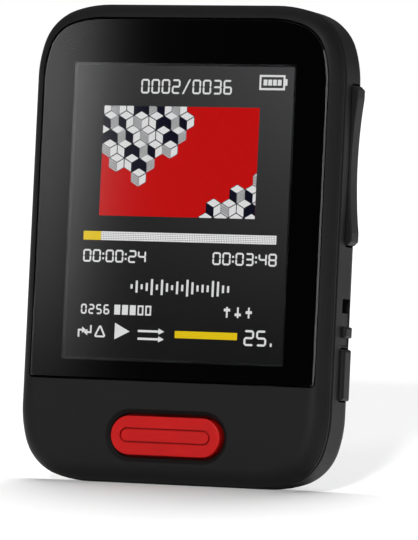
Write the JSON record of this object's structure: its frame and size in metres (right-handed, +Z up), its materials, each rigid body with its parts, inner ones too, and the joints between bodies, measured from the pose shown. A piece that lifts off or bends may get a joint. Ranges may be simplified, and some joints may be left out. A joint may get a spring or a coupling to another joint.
{
  "type": "digital audio player",
  "caption": "Palm-sized music player with a colour screen, a long front button, side rocker, slider and push key, and a sprung clip on its back.",
  "frame": {"origin": "middle of the flat bottom face that the player stands on", "axes": "+Z up the player towards its headphone socket, +X to the right of the screen, -Y the way the screen faces"},
  "size_m": [0.0404, 0.0137, 0.0573],
  "materials": {
    "case_black": "fine spark-eroded texture",
    "key_black": "satin",
    "button_red": "satin",
    "window_clear": "polished",
    "ink_black": "printed",
    "tape_black": "matt",
    "lcd_glass": "lit picture behind glass",
    "light_guide": "satin",
    "foam_grey": "foam",
    "flex_amber": "satin",
    "connector_ivory": "satin",
    "board_green": "solder mask",
    "chip_black": "moulded",
    "tin_plate": "satin",
    "steel": "satin",
    "pouch_silver": "foil",
    "tape_white": "matt",
    "lead_red": "satin",
    "switch_grey": "satin",
    "plunger_white": "satin",
    "socket_black": "moulded",
    "pad_rubber": "matt"
  },
  "bodies": {
    "housing": {"front_cover": "case_black", "rear_cover": "case_black", "case_screws": "steel", "display_window": "window_clear", "window_ink": "ink_black", "window_tape": "tape_black", "lcd_panel": "lcd_glass", "lcd_backlight": "light_guide", "lcd_foam": "foam_grey", "lcd_flex": "flex_amber", "flex_connector": "connector_ivory", "main_board": "board_green", "system_chip": "chip_black", "memory_chip": "chip_black", "tuner_chip": "chip_black", "clock_crystal": "tin_plate", "small_components": "tin_plate", "battery": "pouch_silver", "battery_tape": "tape_white", "battery_board": "board_green", "battery_leads": "lead_red", "button_switch": "switch_grey", "rocker_pin": "steel", "rocker_bracket": "steel", "rocker_switches": "switch_grey", "rocker_switch_plungers": "plunger_white", "slide_switch": "switch_grey", "side_key_switch": "switch_grey", "headphone_jack": "socket_black", "usb_socket": "steel", "usb_tongue": "connector_ivory", "clip_pin": "steel", "clip_spring": "steel"},
    "front_button": {"main_button": "button_red", "button_plunger": "plunger_white"},
    "volume_rocker": {"track_rocker": "key_black"},
    "power_switch": {"power_slider": "key_black", "slider_lever": "plunger_white"},
    "push_key": {"side_key": "key_black", "side_key_plunger": "plunger_white"},
    "back_clip": {"belt_clip": "case_black", "clip_pad": "pad_rubber"}
  },
  "joints": [
    {"name": "front_button_press", "type": "slide", "parent": "housing", "child": "front_button", "axis": [0, 1, 0], "range_m": [0, 0.0004], "stiffness_N_per_m": 800},
    {"name": "volume_rocker_tilt", "type": "hinge", "parent": "housing", "child": "volume_rocker", "pos_m": [0.0166, 0.00095, 0.0387], "axis": [0, 1, 0], "range_deg": [-2.5, 2.5], "stiffness_Nm_per_rad": 0.1},
    {"name": "power_switch_slide", "type": "slide", "parent": "housing", "child": "power_switch", "axis": [0, 0, 1], "range_m": [0, 0.0016]},
    {"name": "push_key_press", "type": "slide", "parent": "housing", "child": "push_key", "axis": [-1, 0, 0], "range_m": [0, 0.00035], "stiffness_N_per_m": 800},
    {"name": "back_clip_open", "type": "hinge", "parent": "housing", "child": "back_clip", "pos_m": [0, 0.00655, 0.0425], "axis": [1, 0, 0], "range_deg": [0, 12], "stiffness_Nm_per_rad": 0.08, "springref_deg": -28.65, "deforming": ["clip_spring"]}
  ]
}
